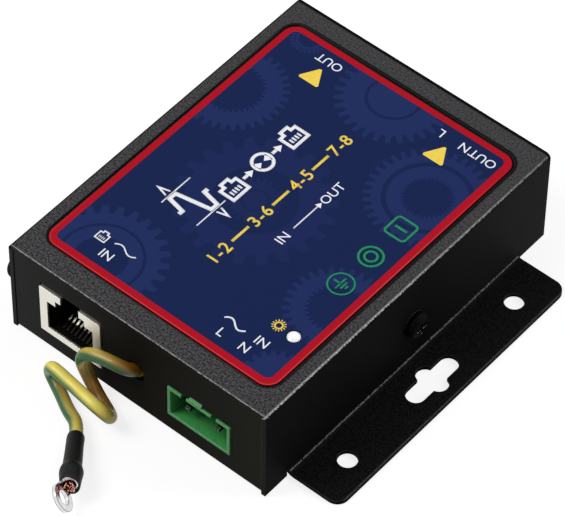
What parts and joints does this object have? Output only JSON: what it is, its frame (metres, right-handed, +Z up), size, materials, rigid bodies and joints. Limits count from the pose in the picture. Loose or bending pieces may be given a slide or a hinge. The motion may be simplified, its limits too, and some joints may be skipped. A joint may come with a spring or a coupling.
{
  "type": "ethernet surge protector",
  "caption": "Metal box that protects one network line and its supply, with sockets at both ends, a mounting flange and an earth wire.",
  "frame": {"origin": "middle of the housing's underside, on the surface that it stands on, midway between the side walls and between the cover's ends", "axes": "+Z up, +Y along the housing towards the output end, +X across it towards the mounting flange"},
  "size_m": [0.0809, 0.1184, 0.0248],
  "materials": {
    "dark_coat": "fine sandy powder coat, near black grey",
    "tray_coat": "smooth black powder coat",
    "label_print": "navy overlay with a red border, satin",
    "screw_black": "black oxide",
    "zinc": "zinc plated",
    "board": "green solder mask",
    "jack_metal": "nickel plated sheet",
    "jack_plastic": "black moulded",
    "gold": "gold plated spring wire",
    "green_plastic": "green moulded",
    "tin": "tinned",
    "led_lens": "milky clear lens",
    "spacer": "black",
    "ceramic": "ceramic with metal caps",
    "chip": "moulded package",
    "choke": "potted block",
    "disc_blue": "lacquered disc",
    "brass_post": "solder post",
    "wire": "yellow jacket with a green stripe",
    "sleeve": "heat shrink",
    "lug": "tinned copper",
    "copper": "bare copper strands"
  },
  "bodies": {
    "root": {"top_cover": "dark_coat", "base_tray": "tray_coat", "face_label": "label_print", "cover_screws": "screw_black", "circuit_board": "board", "board_standoffs": "zinc", "board_screws": "zinc", "input_jack_shield": "jack_metal", "input_jack_insert": "jack_plastic", "input_jack_contacts": "gold", "output_jack_shield": "jack_metal", "output_jack_insert": "jack_plastic", "output_jack_contacts": "gold", "input_header_body": "green_plastic", "input_header_pins": "tin", "output_header_body": "green_plastic", "output_header_pins": "tin", "status_led": "led_lens", "led_spacer": "spacer", "gas_tubes": "ceramic", "suppressor_arrays": "chip", "line_magnetics": "choke", "line_varistors": "disc_blue", "power_gas_tube": "ceramic", "thermal_fuses": "ceramic", "ground_post": "brass_post", "ground_wire_tail": "wire", "ground_wire": "wire", "wire_sleeve": "sleeve", "ring_terminal": "lug", "wire_strands": "copper"}
  },
  "joints": []
}
